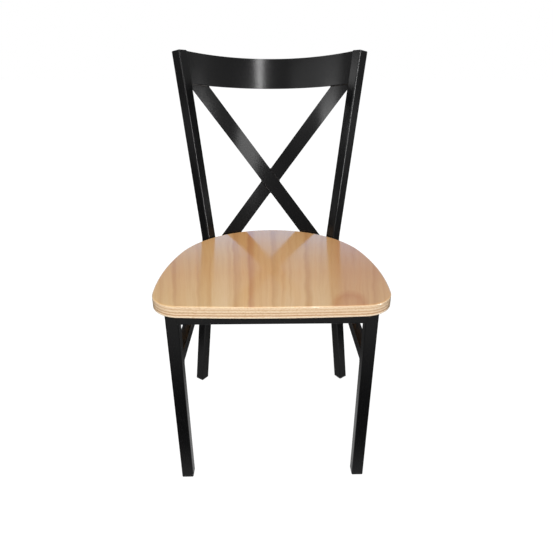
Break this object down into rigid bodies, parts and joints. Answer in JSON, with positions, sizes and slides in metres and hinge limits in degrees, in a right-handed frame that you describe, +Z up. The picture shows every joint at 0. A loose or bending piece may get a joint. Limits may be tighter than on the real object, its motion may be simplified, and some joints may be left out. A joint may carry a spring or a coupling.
{
  "type": "restaurant chair",
  "caption": "Side chair with a curved cross back, square steel tube frame and screwed-on D-shaped plywood seat.",
  "frame": {"origin": "on the floor, at the middle of the chair's outline", "axes": "+Z up; the chair faces -Y; +X to the right as seen from the front, and left and right in the node names are as seen from the front"},
  "size_m": [0.46, 0.5256, 0.8831],
  "materials": {
    "seat_plywood": "clear gloss lacquer on pine-faced plywood, with light ply lines on its edge",
    "frame_coat": "black powder coat, semi-gloss, faintly textured",
    "black_plastic": "black moulded plastic, lightly textured",
    "zinc_hardware": "bright zinc plated steel"
  },
  "bodies": {
    "root": {"seat_panel": "seat_plywood", "front_leg_left": "frame_coat", "front_leg_right": "frame_coat", "rear_leg_left": "frame_coat", "rear_leg_right": "frame_coat", "front_rail": "frame_coat", "rear_rail": "frame_coat", "side_rail_left": "frame_coat", "side_rail_right": "frame_coat", "side_brace_left": "frame_coat", "side_brace_right": "frame_coat", "crest_rail": "frame_coat", "lower_back_rail": "frame_coat", "cross_bar_full": "frame_coat", "cross_bar_upper": "frame_coat", "cross_bar_lower": "frame_coat", "seat_bracket_front_left": "frame_coat", "seat_bracket_front_right": "frame_coat", "seat_bracket_rear_left": "frame_coat", "seat_bracket_rear_right": "frame_coat", "post_cap_left": "black_plastic", "post_cap_right": "black_plastic", "glide_front_left": "black_plastic", "glide_front_right": "black_plastic", "glide_rear_left": "black_plastic", "glide_rear_right": "black_plastic", "seat_screws": "zinc_hardware", "seat_washers": "zinc_hardware", "seat_inserts": "zinc_hardware"}
  },
  "joints": []
}
